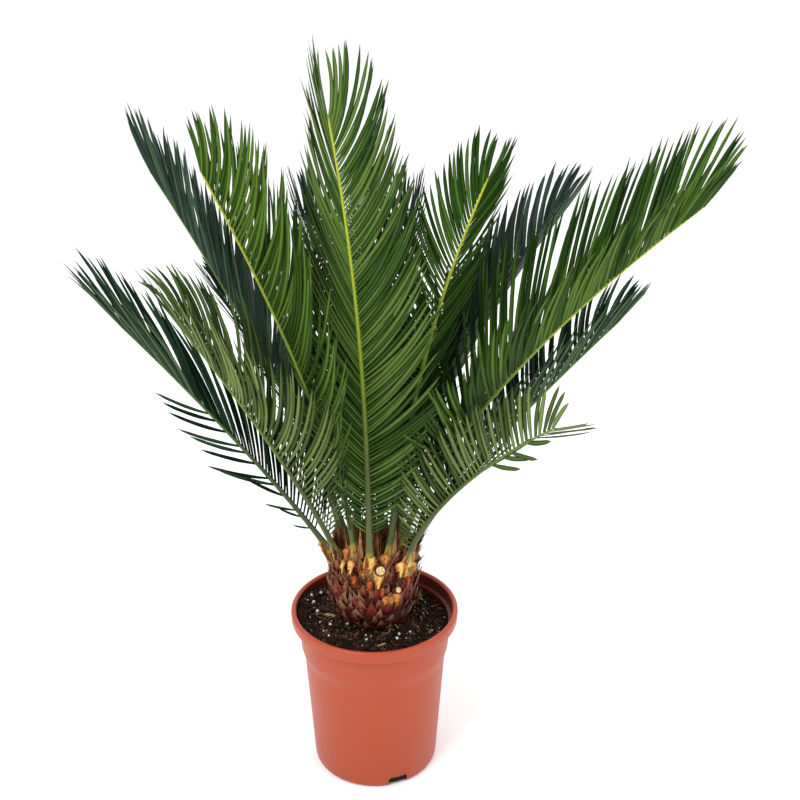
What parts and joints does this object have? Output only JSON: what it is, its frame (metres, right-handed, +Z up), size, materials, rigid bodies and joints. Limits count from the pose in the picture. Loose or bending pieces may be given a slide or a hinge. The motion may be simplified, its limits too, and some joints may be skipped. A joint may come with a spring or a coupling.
{
  "type": "potted sago palm",
  "caption": "Young sago palm: a short scaly trunk with a crown of stiff feathery fronds, rooted in dark potting mix in a tapered round nursery pot.",
  "frame": {"origin": "centre of the pot's flat underside, on the surface that it stands on", "axes": "+Z up along the pot's axis, -Y towards the side where the tallest frond stands in front, +X towards the longest leaning frond"},
  "size_m": [0.5668, 0.4438, 0.7441],
  "materials": {
    "pot": "satin terracotta-coloured plastic",
    "potting_mix": "dark moist peat with pale perlite grains",
    "caudex": "red-brown scales with grey-brown felted tips",
    "frond": "glossy dark green leaflets on a yellow-green midrib"
  },
  "bodies": {
    "root": {"pot": "pot", "potting_mix": "potting_mix", "caudex": "caudex", "frond_front": "frond", "frond_left_bright": "frond", "frond_left_back": "frond", "frond_left_low": "frond", "frond_left_curled": "frond", "frond_back_left": "frond", "frond_back_centre": "frond", "frond_right_bright": "frond", "frond_right_back": "frond", "frond_right_long": "frond", "frond_right_low": "frond", "frond_right_arched": "frond", "frond_upright": "frond", "frond_back_low_right": "frond", "frond_back_low_centre": "frond", "frond_back_low_left": "frond"}
  },
  "joints": []
}
